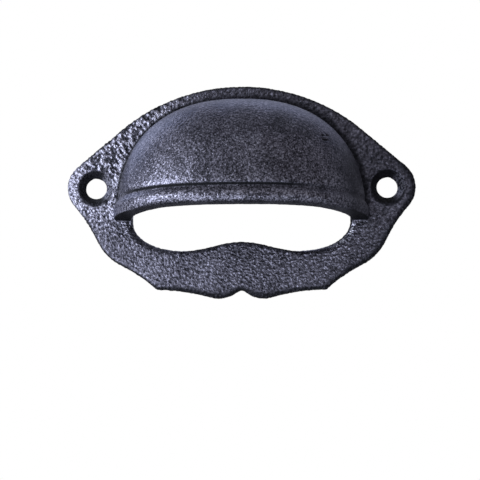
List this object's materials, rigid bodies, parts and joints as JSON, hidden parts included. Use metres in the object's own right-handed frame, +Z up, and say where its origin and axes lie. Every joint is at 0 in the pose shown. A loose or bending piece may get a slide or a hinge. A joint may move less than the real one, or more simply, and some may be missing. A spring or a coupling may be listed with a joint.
{
  "type": "cup pull",
  "caption": "Half-dome cup pull cast in one piece, with a scalloped screw flange, a banded rim and a finger window under it.",
  "frame": {"origin": "on the back face, midway between the two screw holes", "axes": "+X along the hole line to the right as seen from the front, +Y out of the back face into the drawer front, +Z up towards the flange's crown"},
  "size_m": [0.0794, 0.0254, 0.049],
  "materials": {
    "black_iron": "black, pebbled as sand cast"
  },
  "bodies": {
    "root": {"cup_pull": "black_iron"}
  },
  "joints": []
}
